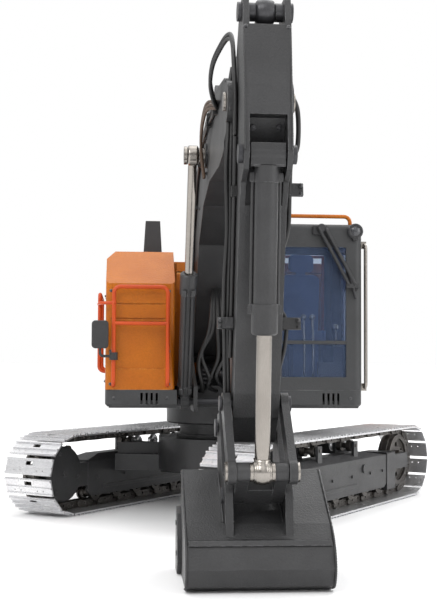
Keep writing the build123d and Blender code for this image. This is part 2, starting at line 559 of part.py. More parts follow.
lift_barrel = barrel_shape(112, 5.8, 4.6, 3.3, 6.5, 7.0, 2.5, (-25, 25))
lift_rod = rod_shape(span(BOOM_CYL_BASE, BOOM_CYL_END), 130, 4.6, 3.3, 7.4, 8.0, 5.6)
lift_barrels = []
lift_rods = []
for x in (BOOM_X - CYL_SIDE, BOOM_X + CYL_SIDE):
    place = cylinder_place(BOOM_CYL_BASE, BOOM_CYL_END, x)
    lift_barrels.append(place * lift_barrel)
    lift_rods.append(place * lift_rod)
save("boom_barrels", lift_barrels)
save("boom_rods", lift_rods)
crowd_place = cylinder_place(STICK_CYL_BASE, STICK_CYL_END, BOOM_X)
crowd_barrel = barrel_shape(106, 6.6, 5.1, 3.6, 6.5, 17.6, 2.5, (155, 205))
save("stick_barrel", crowd_place * crowd_barrel)
crowd_rod = rod_shape(span(STICK_CYL_BASE, STICK_CYL_END), 118, 5.1, 3.6, 6.6, 10.6, 4.9)
save("stick_rod", crowd_place * crowd_rod)
curl_place = cylinder_place(BUCKET_CYL_BASE, ROD_PIN, BOOM_X)
curl_barrel = barrel_shape(99, 6.5, 5.2, 4.3, 6.4, 19.0, 2.5, (75, -75))
curl_barrel += Box(19, 12, 12) - Rot(0, 90, 0) * Cylinder(2.5 + FIT, 80)
save("bucket_barrel", curl_place * curl_barrel)
curl_rod = rod_shape(span(BUCKET_CYL_BASE, ROD_PIN), 130, 5.2, 4.3, 6.8, 9.2, 4.9)
save("bucket_rod", curl_place * curl_rod)

# Stick: two side plates with bent front and rear plates between them
stick_side = [(372, 331), (388, 331), (391, 318), (396, 281), (398, 264), (400.5, 242), (396, 233), (383, 228),
              (375.5, 213), (357, 146), (349, 110), (343, 96), (326, 80), (306, 82), (305, 96), (314, 150), (337, 268), (341, 291),
              (350, 300)]
stick = plate(stick_side, BOOM_X - STICK_HALF, BOOM_X + STICK_HALF, 3)
stick -= plate([(350, 314.6), (400, 314.6), (400, 345), (350, 345)], BOOM_X - 9.9, BOOM_X + 9.9)
stick -= plate([(404, 263), (388.5, 263), (381, 249), (374, 216), (404, 216)], BOOM_X - 10.4, BOOM_X + 10.4)
stick -= plate([(370, 313), (388, 313), (392.5, 281), (386.5, 266), (377, 247), (370, 214), (353, 145), (343, 112), (322, 100),
                (319, 150), (341, 262), (366, 272), (366, 294), (352, 296)], BOOM_X - 10.0, BOOM_X + 10.0)
stick += disc(NOSE, 11, BOOM_X - STICK_HALF, BOOM_X + STICK_HALF)
stick += disc(BUCKET_PIN, 10, BOOM_X - STICK_HALF, BOOM_X + STICK_HALF)
stick += disc(ROCKER_PIVOT, 7, BOOM_X - STICK_HALF, BOOM_X + STICK_HALF)
stick -= disc(NOSE, 3.0 + FIT, BOOM_X - 40, BOOM_X + 40)
stick -= disc(BUCKET_PIN, 3.0, BOOM_X - 40, BOOM_X + 40)
stick -= disc(ROCKER_PIVOT, 2.5, BOOM_X - 40, BOOM_X + 40)
stick -= disc(STICK_CYL_END, 1.6, BOOM_X - 40, BOOM_X + 40)
stick -= disc(BUCKET_CYL_BASE, 2.5, BOOM_X - 40, BOOM_X + 40)
save("stick", stick)
top_pin = capped_pin(STICK_CYL_END, 1.6, 13.4, 5.4, 2.2)
for x0, x1 in ((BOOM_X - 9.9, BOOM_X - 5.7), (BOOM_X + 5.7, BOOM_X + 9.9)):
    top_pin += disc(STICK_CYL_END, 5.2, x0, x1)
save("stick_pins", [top_pin, capped_pin(BUCKET_CYL_BASE, 2.5, 13.4, 5.2, 2.8),
                    capped_pin(ROCKER_PIVOT, 2.5, 19.8, 4.6, 1.4), capped_pin(BUCKET_PIN, 3.0, 20.2, 5.4, 1.4)])

# Fixed oil lines on the boom and stick, with clamps, and the flexible hoses over the nose
boom_line = [(38, 172), (60, 236), (103, 273.5), (150, 291.5), (200, 295.5), (286, 291.5)]
boom_lines = []
for lift in (0, 3.4):
    for x in (BOOM_X - 19.4, BOOM_X + 19.4):
        route = [(x, -b + lift * 0.3, z + lift) for b, z in boom_line]
        boom_lines.append(pipe(route, 1.15, 14))
for x0, x1 in ((BOOM_X - 21.2, BOOM_X - 18), (BOOM_X + 18, BOOM_X + 21.2)):
    for b, z in ((82, 257.2), (127, 284.6), (225, 296.1), (276, 293.6)):
        strap = block(x0, x1, -b - 2.5, -b + 2.5, z - 4.6, z + 4.6)
        for line in boom_lines:
            strap -= line
        boom_lines.append(strap)
save("boom_pipes", boom_lines)
stick_lines = []
for x in (BOOM_X - 14.7, BOOM_X + 14.7):
    stick_lines.append(pipe([(x, -361, 258), (x, -356, 226), (x, -334, 132)], 1.15, 12))
    stick_lines.append(pipe([(x, -365, 257), (x, -360, 225), (x, -338, 131)], 1.15, 12))
for x0, x1 in ((BOOM_X - 16.6, BOOM_X - STICK_HALF), (BOOM_X + STICK_HALF, BOOM_X + 16.6)):
    for b, z in ((358.2, 226), (340.4, 150)):
        strap = block(x0, x1, -b - 5, -b + 5, z - 3, z + 3)
        for line in stick_lines:
            strap -= line
        stick_lines.append(strap)
save("stick_pipes", stick_lines)
nose_hoses = []
for i in range(2):
    x = BOOM_X - 24.0
    hose = [(BOOM_X - 19.6, -287 - 0.2, 291.5 + 3.4 * i), (BOOM_X - 19.6, -296, 291.1 + 3.4 * i),
            (x, -318, 301 + 5 * i), (x, -352, 309 + 6 * i), (x, -374 - 5 * i, 290 + 3 * i),
            (x, -370 - 4 * i, 266), (BOOM_X - 15.0, -362.1 - 4 * i, 262 - i), (BOOM_X - 15.0, -361.2 - 4 * i, 258.2 - i)]
    nose_hoses.append(pipe(hose, 1.5, 1.2))
save("nose_hoses", nose_hoses)

# Bucket linkage: two rockers outside the stick, their pin, and the link to the bucket
rockers = []
for x0, x1 in ((BOOM_X - 19.4, BOOM_X - 14.8), (BOOM_X + 14.8, BOOM_X + 19.4)):
    rocker = disc(ROCKER_PIVOT, 6.5, x0, x1) + disc(ROD_PIN, 6.8, x0, x1)
    ends = ((334.2, 100.2), (341.8, 107.8), (378.0, 71.6), (370.0, 63.6))
    rocker += plate(ends, x0, x1)
    rocker -= disc(ROCKER_PIVOT, 2.5 + FIT, BOOM_X - 40, BOOM_X + 40)
    rocker -= disc(ROD_PIN, 1.6, BOOM_X - 40, BOOM_X + 40)
    rockers.append(rocker)
save("rocker_arms", rockers)
rocker_pin = capped_pin(ROD_PIN, 1.6, 19.4, 5.6, 1.4)
for x0, x1 in ((BOOM_X - 7.0, BOOM_X - 4.8), (BOOM_X + 4.8, BOOM_X + 7.0)):
    rocker_pin += disc(ROD_PIN, 5.4, x0, x1)
save("rocker_pin", rocker_pin)
link = disc(LINK_PIN, 4.6, BOOM_X - 14.5, BOOM_X + 14.5)
for x0, x1 in ((BOOM_X - 14.4, BOOM_X - 7.3), (BOOM_X + 7.3, BOOM_X + 14.4)):
    link += disc(ROD_PIN, 5.4, x0, x1)
    link += plate([(347.6, 55.0), (371.2, 71.2), (376.6, 63.8), (353.0, 48.2)], x0, x1)
link += plate([(346, 50), (349, 56.2), (360.5, 62.5), (364.5, 56.5), (353, 47.6)], BOOM_X - 8, BOOM_X + 8)
link -= disc(LINK_PIN, 2.5 + FIT, BOOM_X - 40, BOOM_X + 40)
link -= disc(ROD_PIN, 1.6 + FIT, BOOM_X - 40, BOOM_X + 40)
save("bucket_link", link)

# Bucket: bent shell, side walls, two ear plates
BUCKET_HALF = 40.0
shell_outer = [(309, 62), (316, 63.5), (358, 37), (370, 26), (374, 14), (370, 4), (361, 0.4), (296, 0.4)]
shell_inner = [(296, 3.4), (360, 3.4), (367.4, 6.4), (371, 14), (367.6, 24.6), (356, 34.4), (315, 60.3), (309, 59)]
bucket = plate(shell_outer + shell_inner, BOOM_X - BUCKET_HALF, BOOM_X + BUCKET_HALF)
wall = shell_outer + [(300, 34)]
for x0, x1 in ((BOOM_X - BUCKET_HALF - 1.4, BOOM_X - BUCKET_HALF + 1), (BOOM_X + BUCKET_HALF - 1, BOOM_X + BUCKET_HALF + 1.4)):
    bucket += plate(wall, x0, x1)
bucket += plate([(367.5, 26.5), (371.2, 26.5), (369.8, 29.4), (366, 29.4)], BOOM_X - BUCKET_HALF, BOOM_X + BUCKET_HALF)
ear = [(306, 96), (318, 98), (344, 63), (356, 62), (361, 55), (365, 28), (357, 36), (316, 62.6), (308, 62)]
for x0, x1 in ((BOOM_X - 19.4, BOOM_X - 14.8), (BOOM_X + 14.8, BOOM_X + 19.4)):
    bucket += plate(ear, x0, x1)
    bucket += disc(LINK_PIN, 7.0, x0, x1)
    bucket += disc(BUCKET_PIN, 8.5, x0, x1)
    bucket -= disc(BUCKET_PIN, 3.0 + FIT, x0 - 1, x1 + 1)
    bucket -= disc(LINK_PIN, 2.5, x0 - 2, x1 + 2)
save("bucket", bucket)
save("bucket_pins", capped_pin(LINK_PIN, 2.5, 19.4, 4.6, 1.4))
teeth = []
for i in range(5):
    x = BOOM_X + 17 * (i - 2)
    tooth = plate([(302, 7.0), (302, 3.4), (296, 3.4), (296, 0.6), (278, 1.0), (278, 2.2), (292, 7.0)], x - 3.4, x + 3.4)
    teeth.append(tooth)
save("bucket_teeth", teeth)
cutters = []
for x0, x1 in ((BOOM_X - BUCKET_HALF - 4.0, BOOM_X - BUCKET_HALF - 1.4), (BOOM_X + BUCKET_HALF + 1.4, BOOM_X + BUCKET_HALF + 4.0)):
    cutter = plate([(312, 0.6), (293, 0.6), (291, 10), (295, 34), (299, 40), (308, 36), (315, 22), (318, 8)], x0, x1, 1.5)
    cutter += disc((304, 30), 1.6, x0 - 0.6, x1 + 0.6) - disc((304, 30), 9, BOOM_X - BUCKET_HALF - 1.4, BOOM_X + BUCKET_HALF + 1.4)
    cutter += disc((306, 12), 1.6, x0 - 0.6, x1 + 0.6) - disc((306, 12), 9, BOOM_X - BUCKET_HALF - 1.4, BOOM_X + BUCKET_HALF + 1.4)
    cutters.append(cutter)
save("side_cutters", cutters)
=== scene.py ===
import bpy
import bmesh
import json
import math
from mathutils import Vector, Matrix


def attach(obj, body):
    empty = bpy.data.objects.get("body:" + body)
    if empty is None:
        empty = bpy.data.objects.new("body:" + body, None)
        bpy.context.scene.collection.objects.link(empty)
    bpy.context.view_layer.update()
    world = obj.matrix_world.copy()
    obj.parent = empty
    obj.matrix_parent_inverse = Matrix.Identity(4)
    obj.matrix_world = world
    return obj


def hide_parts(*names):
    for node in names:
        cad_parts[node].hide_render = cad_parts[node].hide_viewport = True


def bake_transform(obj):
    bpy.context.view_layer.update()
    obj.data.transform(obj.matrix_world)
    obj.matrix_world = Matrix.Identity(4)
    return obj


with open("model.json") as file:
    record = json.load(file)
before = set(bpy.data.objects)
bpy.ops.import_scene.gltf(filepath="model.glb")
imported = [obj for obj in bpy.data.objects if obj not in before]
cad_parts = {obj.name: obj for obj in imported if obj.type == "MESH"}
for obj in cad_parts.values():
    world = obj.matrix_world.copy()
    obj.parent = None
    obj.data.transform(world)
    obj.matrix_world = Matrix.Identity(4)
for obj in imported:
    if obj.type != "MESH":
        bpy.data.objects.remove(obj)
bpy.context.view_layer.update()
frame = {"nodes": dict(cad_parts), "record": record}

# Places are machine millimetres: x to the machine's left, forward, and height, from the slewing axis
SLEW_X = -13.3
SLEW_Y = 84.4
BOOM_X = -11.0
MM = 1000
NODES = frame["nodes"]
scene = bpy.context.scene


def spot(p):
    """A place (x, forward, height) in the row frame, in metres."""
    x, forward, height = p
    return Vector(((x + SLEW_X) / MM, (SLEW_Y - forward) / MM, height / MM))


def heading(d):
    """A direction (x, forward, height) in the row frame."""
    return Vector((d[0], -d[1], d[2])).normalized()


# ---------------------------------------------------------------- materials
SPECKLE = 0.35
GRAIN_HEIGHT = 0.0008


def nodes_of(name):
    m = bpy.data.materials.new(name)
    m.use_nodes = True
    m.node_tree.nodes.clear()
    return m, m.node_tree


def add(tree, kind, **values):
    n = tree.nodes.new(kind)
    for key, value in values.items():
        setattr(n, key, value)
    return n


def noise(tree, scale, detail=4.0, rough=0.55, stretch=(1, 1, 1)):
    co = add(tree, "ShaderNodeTexCoord")
    mp = add(tree, "ShaderNodeMapping")
    mp.inputs["Scale"].default_value = stretch
    tree.links.new(co.outputs["Object"], mp.inputs["Vector"])
    n = add(tree, "ShaderNodeTexNoise")
    n.inputs["Scale"].default_value = scale
    n.inputs["Detail"].default_value = detail
    n.inputs["Roughness"].default_value = rough
    tree.links.new(mp.outputs["Vector"], n.inputs["Vector"])
    return n.outputs["Fac"]


def ramp(tree, source, lo, hi):
    r = add(tree, "ShaderNodeValToRGB")
    r.color_ramp.elements[0].position = lo
    r.color_ramp.elements[1].position = hi
    tree.links.new(source, r.inputs["Fac"])
    return r.outputs["Color"]


def feed(tree, socket, value):
    """Links an output to a socket, or sets a constant on it."""
    if hasattr(value, "links"):
        tree.links.new(value, socket)
    else:
        socket.default_value = value


def mix(tree, fac, a, b):
    m = add(tree, "ShaderNodeMix", data_type="RGBA")
    feed(tree, m.inputs[0], fac)
    feed(tree, m.inputs[6], a)
    feed(tree, m.inputs[7], b)
    return m.outputs[2]


def math_node(tree, op, a, b):
    m = add(tree, "ShaderNodeMath", operation=op)
    feed(tree, m.inputs[0], a)
    feed(tree, m.inputs[1], b)
    return m.outputs[0]


def surface(name, base, tone, rough, metal, grain, bump, edge, wear=None, wear_cut=0.10,
            coat=0.0, patch=35.0, stretch=(1, 1, 1), rough_span=0.18, spec=0.5):
    """Two mottled tones, fine grain in colour and height, rounded edges, and paint worn off the edges."""
    m, t = nodes_of(name)
    out = add(t, "ShaderNodeOutputMaterial")
    bsdf = add(t, "ShaderNodeBsdfPrincipled")
    t.links.new(bsdf.outputs[0], out.inputs[0])
    blotch = noise(t, patch, 5.0, 0.6)
    fine = noise(t, grain, 3.0, 0.6, stretch)
    color = mix(t, ramp(t, blotch, 0.35, 0.68), (*base, 1), (*tone, 1))
    speckle = math_node(t, "MULTIPLY", ramp(t, fine, 0.40, 0.62), SPECKLE)
    color = mix(t, speckle, color, (*[c * 0.6 for c in base], 1))
    bevel = add(t, "ShaderNodeBevel", samples=4)
    bevel.inputs["Radius"].default_value = edge
    if wear:
        geo = add(t, "ShaderNodeNewGeometry")
        dot = add(t, "ShaderNodeVectorMath", operation="DOT_PRODUCT")
        wide = add(t, "ShaderNodeBevel", samples=4)
        wide.inputs["Radius"].default_value = edge * 1.6
        t.links.new(wide.outputs[0], dot.inputs[0])
        t.links.new(geo.outputs["Normal"], dot.inputs[1])
        sharp = math_node(t, "SUBTRACT", 1.0, dot.outputs["Value"])
        sharp = math_node(t, "MULTIPLY", sharp, ramp(t, noise(t, 140.0, 5.0, 0.7), 0.42, 0.62))
        mask = ramp(t, sharp, wear_cut * 0.4, wear_cut)
        color = mix(t, mask, color, (*wear, 1))
    t.links.new(color, bsdf.inputs["Base Color"])
    level = math_node(t, "MULTIPLY", blotch, rough_span)
    level = math_node(t, "ADD", level, rough - rough_span * 0.5)
    t.links.new(level, bsdf.inputs["Roughness"])
    bsdf.inputs["Metallic"].default_value = metal
    bsdf.inputs["Coat Weight"].default_value = coat
    bsdf.inputs["Coat Roughness"].default_value = 0.12
    bsdf.inputs["Specular IOR Level"].default_value = spec
    b = add(t, "ShaderNodeBump")
    b.inputs["Strength"].default_value = bump
    b.inputs["Distance"].default_value = GRAIN_HEIGHT
    t.links.new(fine, b.inputs["Height"])
    t.links.new(bevel.outputs[0], b.inputs["Normal"])
    t.links.new(b.outputs[0], bsdf.inputs["Normal"])
    return m


def glass(name, tint):
    """Clear tinted panes with a smeared, bluish shine."""
    m, t = nodes_of(name)
    out = add(t, "ShaderNodeOutputMaterial")
    clear = add(t, "ShaderNodeBsdfTransparent")
    shine = add(t, "ShaderNodeBsdfPrincipled")
    smear = noise(t, 55.0, 5.0, 0.65)
    smeared = mix(t, ramp(t, smear, 0.4, 0.7), (*tint, 1), (*[c * 0.9 for c in tint], 1))
    t.links.new(smeared, clear.inputs[0])
    shine.inputs["Base Color"].default_value = (0.15, 0.21, 0.36, 1)
    t.links.new(math_node(t, "ADD", math_node(t, "MULTIPLY", smear, 0.14), 0.02), shine.inputs["Roughness"])
    weight = add(t, "ShaderNodeLayerWeight")
    weight.inputs["Blend"].default_value = 0.25
    fac = math_node(t, "ADD", math_node(t, "MULTIPLY", weight.outputs["Fresnel"], 0.6), 0.16)
    both = add(t, "ShaderNodeMixShader")
    t.links.new(fac, both.inputs[0])
    t.links.new(clear.outputs[0], both.inputs[1])
    t.links.new(shine.outputs[0], both.inputs[2])
    t.links.new(both.outputs[0], out.inputs[0])
    return m


MAT = {}
MAT["dark_paint"] = surface(
    "dark_paint", base=(0.040, 0.040, 0.0415), tone=(0.027, 0.027, 0.028),
    rough=0.40, metal=0.25, grain=900, bump=0.45, edge=0.0005,
    wear=(0.16, 0.16, 0.165), wear_cut=0.16, coat=0.08,
)
MAT["grey_paint"] = surface(
    "grey_paint", base=(0.044, 0.045, 0.047), tone=(0.032, 0.033, 0.034),
    rough=0.42, metal=0.1, grain=1000, bump=0.25, edge=0.0006,
    wear=(0.14, 0.14, 0.14), wear_cut=0.2,
)
MAT["track_steel"] = surface(
    "track_steel", base=(0.80, 0.80, 0.81), tone=(0.68, 0.68, 0.70),
    rough=0.30, metal=0.85, grain=900, bump=0.16, edge=0.0003,
    wear=(0.95, 0.95, 0.95), wear_cut=0.08, stretch=(0.25, 1, 1), rough_span=0.22,
)
MAT["chain_steel"] = surface(
    "chain_steel", base=(0.13, 0.12, 0.11), tone=(0.07, 0.065, 0.06),
    rough=0.42, metal=0.8, grain=1100, bump=0.2, edge=0.0003,
    wear=(0.42, 0.40, 0.37), wear_cut=0.08,
)
MAT["bright_steel"] = surface(
    "bright_steel", base=(0.36, 0.335, 0.305), tone=(0.30, 0.275, 0.25),
    rough=0.24, metal=1.0, grain=700, bump=0.04, edge=0.0003,
    stretch=(8, 1, 1), rough_span=0.08,
)
MAT["pin_steel"] = surface(
    "pin_steel", base=(0.06, 0.06, 0.064), tone=(0.045, 0.045, 0.05),
    rough=0.38, metal=0.5, grain=1200, bump=0.1, edge=0.0004,
    wear=(0.2, 0.2, 0.2), wear_cut=0.12,
)
MAT["orange_paint"] = surface(
    "orange_paint", base=(0.50, 0.140, 0.002), tone=(0.41, 0.105, 0.002),
    rough=0.36, metal=0.0, grain=800, bump=0.35, edge=0.0008,
    wear=(0.66, 0.26, 0.03), wear_cut=0.2, coat=0.08, patch=22, spec=0.3,
)
MAT["rail_paint"] = surface(
    "rail_paint", base=(0.58, 0.075, 0.012), tone=(0.50, 0.060, 0.010),
    rough=0.38, metal=0.0, grain=1600, bump=0.08, edge=0.0003,
    wear=(0.66, 0.16, 0.06), wear_cut=0.2, coat=0.05, spec=0.3,
)
MAT["glass"] = glass("glass", tint=(0.90, 0.935, 0.975))
MAT["seat_blue"] = surface(
    "seat_blue", base=(0.055, 0.09, 0.21), tone=(0.04, 0.068, 0.165),
    rough=0.65, metal=0.0, grain=1900, bump=0.5, edge=0.0006,
)
MAT["black_plastic"] = surface(
    "black_plastic", base=(0.022, 0.022, 0.024), tone=(0.032, 0.032, 0.034),
    rough=0.5, metal=0.0, grain=1700, bump=0.25, edge=0.0005,
    wear=(0.08, 0.08, 0.08), wear_cut=0.2,
)
MAT["hose_rubber"] = surface(
    "hose_rubber", base=(0.010, 0.010, 0.0105), tone=(0.018, 0.0175, 0.0175),
    rough=0.42, metal=0.0, grain=1500, bump=0.3, edge=0.0002,
)
MAT["hose_sleeve"] = surface(
    "hose_sleeve", base=(0.085, 0.045, 0.022), tone=(0.05, 0.03, 0.018),
    rough=0.55, metal=0.0, grain=1400, bump=0.4, edge=0.0002,
)
MAT["window_trim"] = surface(
    "window_trim", base=(0.62, 0.10, 0.03), tone=(0.55, 0.08, 0.02),
    rough=0.4, metal=0.0, grain=1500, bump=0.1, edge=0.0003,
)
MAT["lamp_lens"] = surface(
    "lamp_lens", base=(0.05, 0.052, 0.058), tone=(0.035, 0.036, 0.04),
    rough=0.10, metal=0.2, grain=600, bump=0.3, edge=0.0004,
    coat=0.5,
)
MAT["mirror_face"] = surface(
    "mirror_face", base=(0.62, 0.65, 0.68), tone=(0.58, 0.61, 0.64),
    rough=0.06, metal=1.0, grain=300, bump=0.02, edge=0.0003,
)
slot_of = {s["node"]: s["material_slot"] for s in frame["record"]["subparts"]}
for name, obj in NODES.items():
    obj.data.materials.clear()
    obj.data.materials.append(MAT[slot_of[name]])
    for poly in obj.data.polygons:
        poly.material_index = 0

# ---------------------------------------------------------------- detail pieces
def curve(points, steps):
    """A smooth path through the points."""
    pts = [Vector(p) for p in points]
    pts = [pts[0] * 2 - pts[1]] + pts + [pts[-1] * 2 - pts[-2]]
    out = []
    for i in range(1, len(pts) - 2):
        a, b, c, d = pts[i - 1:i + 3]
        for s in range(steps):
            t = s / steps
            out.append(0.5 * (2 * b + (c - a) * t + (2 * a - 5 * b + 4 * c - d) * t * t
                              + (3 * b - a - 3 * c + d) * t ** 3))
    return out + [pts[-2]]


class Part:
    """One piece of the looks. Shapes are added to it, and done() makes the object and lets it ride."""

    def __init__(self, name, body, material, slot):
        self.name = name
        self.body = body
        self.material = material
        self.slot = slot
        self.bm = bmesh.new()

    def rings(self, rings):
        rows = [[self.bm.verts.new(p) for p in ring] for ring in rings]
        for a, b in zip(rows, rows[1:]):
            for i in range(len(a)):
                j = (i + 1) % len(a)
                self.bm.faces.new((a[i], a[j], b[j], b[i])).smooth = True
        self.bm.faces.new(list(reversed(rows[0])))
        self.bm.faces.new(rows[-1])

    def tube(self, points, r, sides=10, steps=8, ripple=0.0):
        path = [spot(p) for p in curve(points, steps)]
        rings = []
        side = None
        for i, p in enumerate(path):
            d = (path[min(i + 1, len(path) - 1)] - path[max(i - 1, 0)]).normalized()
            side = d.orthogonal() if side is None else side
            side = (side - d * side.dot(d)).normalized()
            up = d.cross(side)
            k = r / MM * (1 + ripple * math.sin(i * 2.4))
            rings.append([p + side * k * math.cos(a) + up * k * math.sin(a)
                          for a in (2 * math.pi * s / sides for s in range(sides))])
        self.rings(rings)
        return self

    def lathe(self, p, axis, profile, sides=28):
        o = spot(p)
        d = heading(axis)
        side = d.orthogonal().normalized()
        up = d.cross(side)
        rings = [[o + d * h / MM + (side * math.cos(a) + up * math.sin(a)) * r / MM
                  for a in (2 * math.pi * s / sides for s in range(sides))] for h, r in profile]
        self.rings(rings)
        return self

    def bolt(self, p, axis, r, h=1.0):
        self.lathe(p, axis, [(0, r * 1.35), (h * 0.25, r * 1.35), (h * 0.3, r * 1.25)], 16)
        self.lathe(p, axis, [(h * 0.28, r), (h * 0.85, r), (h, r * 0.86)], 6)
        self.lathe(p, axis, [(h * 0.9, r * 0.5), (h * 1.25, r * 0.5), (h * 1.35, r * 0.38)], 12)
        return self

    def box(self, p, size, tilt=0.0, soft=0.4):
        made = bmesh.ops.create_cube(self.bm, size=1.0)["verts"]
        turn = Matrix.Rotation(math.radians(-tilt), 4, "X")
        scale = Matrix.Diagonal((size[0] / MM, size[1] / MM, size[2] / MM, 1))
        bmesh.ops.transform(self.bm, matrix=Matrix.Translation(spot(p)) @ turn @ scale, verts=made)
        edges = list({e for v in made for e in v.link_edges})
        bmesh.ops.bevel(self.bm, geom=edges, offset=soft / MM, segments=2, profile=0.7, affect="EDGES")
        return self

    def ball(self, p, axis, r, neck):
        profile = [(-r * math.cos(a), max(r * math.sin(a), 0.02)) for a in
                   (math.pi * i / 24 for i in range(21))]
        return self.lathe(p, axis, [q for q in profile if q[0] < r * 0.82] + [(r * 0.82 + 1.5, neck)], 32)

    def done(self, ride=True):
        mesh = bpy.data.meshes.new(self.name)
        bmesh.ops.recalc_face_normals(self.bm, faces=self.bm.faces)
        self.bm.to_mesh(mesh)
        self.bm.free()
        obj = bpy.data.objects.new(self.name, mesh)
        scene.collection.objects.link(obj)
        mesh.materials.append(self.material)
        if ride:
            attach(obj, self.body)
        return obj


def unit(a, b):
    return (0, b[0] - a[0], b[1] - a[1])


rubber = MAT["hose_rubber"]


def rod_ends():
    """Round ends of the two single cylinder rods."""
    STICK_END, STICK_BASE = (380.0, 324.5), (193.0, 319.0)
    ROD_PIN, CURL_BASE = (374.0, 67.6), (392.0, 242.0)
    top = Part("stick_rod_ball", "stick_rod_body", MAT["pin_steel"], "pin_steel")
    top.ball((BOOM_X, *STICK_END), unit(STICK_END, STICK_BASE), 7.5, 4.4)
    top.lathe((BOOM_X - 5.6, *STICK_END), (1, 0, 0), [(0, 5.0), (0.9, 6.4), (2.2, 6.9), (9.0, 6.9),
                                                      (10.3, 6.4), (11.2, 5.0)])
    top.done()
    low = Part("bucket_rod_ball", "bucket_rod_body", MAT["bright_steel"], "bright_steel")
    low.ball((BOOM_X, *ROD_PIN), unit(ROD_PIN, CURL_BASE), 7.3, 5.0)
    low.lathe((BOOM_X - 5.4, *ROD_PIN), (1, 0, 0), [(0, 5.3), (1.2, 6.2), (9.6, 6.2), (10.8, 5.3)])
    low.done()


def stick_hoses():
    """Hoses, clamps and bolts of the stick."""
    hoses = Part("stick_side_hoses", "stick_body", rubber, "hose_rubber")
    for i, (off, wave) in enumerate(((-16.4, 0.0), (-18.2, 0.7))):
        x = BOOM_X + off
        hoses.tube([(BOOM_X - 14.8, 344, 302 - 6 * i), (x, 348, 290 - 4 * i), (x + 0.6, 352, 268),
                    (x - wave, 354, 240),
                    (x + 0.3, 350, 205), (x - wave, 343, 172), (x + 0.4, 336, 140), (x + 1.6, 330, 112),
                    (BOOM_X - 14.2, 326, 98)], 1.35)
    hoses.tube([(BOOM_X + 15.2, 351, 290), (BOOM_X + 19, 350, 286), (BOOM_X + 23.6, 348, 276),
                (BOOM_X + 23.8, 347, 256),
                (BOOM_X + 19.5, 350, 246), (BOOM_X + 18.2, 352, 230), (BOOM_X + 18.0, 349, 208),
                (BOOM_X + 15.5, 346, 196)], 1.5)
    hoses.tube([(BOOM_X + 14.8, 340, 160), (BOOM_X + 18, 342, 152), (BOOM_X + 17.4, 340, 138),
                (BOOM_X + 15, 334, 124)], 1.2)
    hoses.done()
    clamp = Part("stick_hose_clamps", "stick_body", MAT["dark_paint"], "dark_paint")
    clamp.box((BOOM_X + 20.6, 351, 229), (11.6, 3.2, 7.4), 12)
    clamp.box((BOOM_X + 20.6, 344, 151), (11.2, 3.0, 7.0), 12)
    clamp.box((BOOM_X - 18.2, 345, 151), (9.4, 3.0, 6.6), 12)
    for x, b, z in ((BOOM_X + 24.8, 353, 231.4), (BOOM_X + 24.8, 352.4, 226.4),
                    (BOOM_X + 24.4, 346, 153), (BOOM_X + 24.4, 345, 149),
                    (BOOM_X - 21.4, 347, 153), (BOOM_X - 21.4, 346, 149)):
        clamp.bolt((x, b, z), (0, 1, 0.15), 1.0, 1.6)
    clamp.done()
    lugs = Part("stick_front_bolts", "stick_body", MAT["pin_steel"], "pin_steel")
    for x in (BOOM_X - 7.2, BOOM_X + 7.2):
        lugs.bolt((x, 385.2, 258.5), (0, 1, -0.4), 1.7, 2.4)
    for x in (BOOM_X - 11.9, BOOM_X + 11.9):
        lugs.bolt((x, 391.4, 313), (0, 1, 0.1), 1.0, 1.0)
    for b, z in ((352, 255), (349, 240), (332, 140), (322, 108)):
        lugs.bolt((BOOM_X - 13.4, b, z), (-1, 0, 0), 1.1, 1.0)
        lugs.bolt((BOOM_X + 13.4, b, z), (1, 0, 0), 1.1, 1.0)
    lugs.done()


def boom_sleeve():
    """Brown hoses on the near side of the boom."""
    bundle = Part("boom_hose_sleeve", "boom_body", MAT["hose_sleeve"], "hose_rubber")
    for i in range(3):
        d = 2.3 * i
        bundle.tube([(BOOM_X - 19.5, 284, 296 - d), (BOOM_X - 23.4, 262, 300 - d),
                     (BOOM_X - 24.0, 232, 299 - d),
                     (BOOM_X - 23.8, 206, 291 - d), (BOOM_X - 22.4, 190 + d, 276),
                     (BOOM_X - 20.0, 184 + d, 262)], 1.05)
    bundle.done()


def hub_caps():
    """Silver caps on the inner side of the track frames."""
    caps = Part("roller_hub_caps", "undercarriage", MAT["track_steel"], "track_steel")
    turn = math.radians(-35.7)
    for sx in (1, -1):
        for ly in (-39, -14, 34, 60):
            lx, wy = sx * 81.6, ly + 22.8
            x = math.cos(turn) * lx - math.sin(turn) * wy
            y = math.sin(turn) * lx + math.cos(turn) * wy
            axis = (-sx * math.cos(turn), sx * math.sin(turn), 0)
            caps.lathe((x, -y, 54.4), axis, [(-3.5, 3.0), (0, 3.0), (0, 5.9), (1.6, 5.9), (2.4, 5.1),
                                             (2.4, 3.4),
                                             (1.6, 3.1), (1.6, 1.6), (3.2, 1.2)])
    caps.done()


def cab_fittings():
    """Trim of the rear window, mirror glass and lamp glass."""
    trim = Part("rear_window_trim", "house", MAT["window_trim"], "rail_paint")
    for p, s in (((67, -14.6, 224), (54, 1.4, 2.6)), ((67, -14.6, 154), (54, 1.4, 2.6)),
                 ((41.4, -14.6, 189), (2.6, 1.4, 72)),
                 ((92.6, -14.6, 189), (2.6, 1.4, 72))):
        trim.box(p, s, 0, 0.5)
    trim.done()
    face = Part("mirror_glass", "house", MAT["mirror_face"], "glass")
    face.box((-107, 98.0, 149), (11.0, 0.5, 20), 0, 0.2)
    face.done()
    glow = Part("lamp_glass", "house", MAT["lamp_lens"], "glass")
    glow.lathe((97.5, 107.0, 234), (0, 1, 0), [(-1.6, 6.3), (0.6, 6.3), (0.8, 5.4), (0.2, 5.2),
                                               (1.6, 3.6), (2.2, 0.6)])
    glow.done()


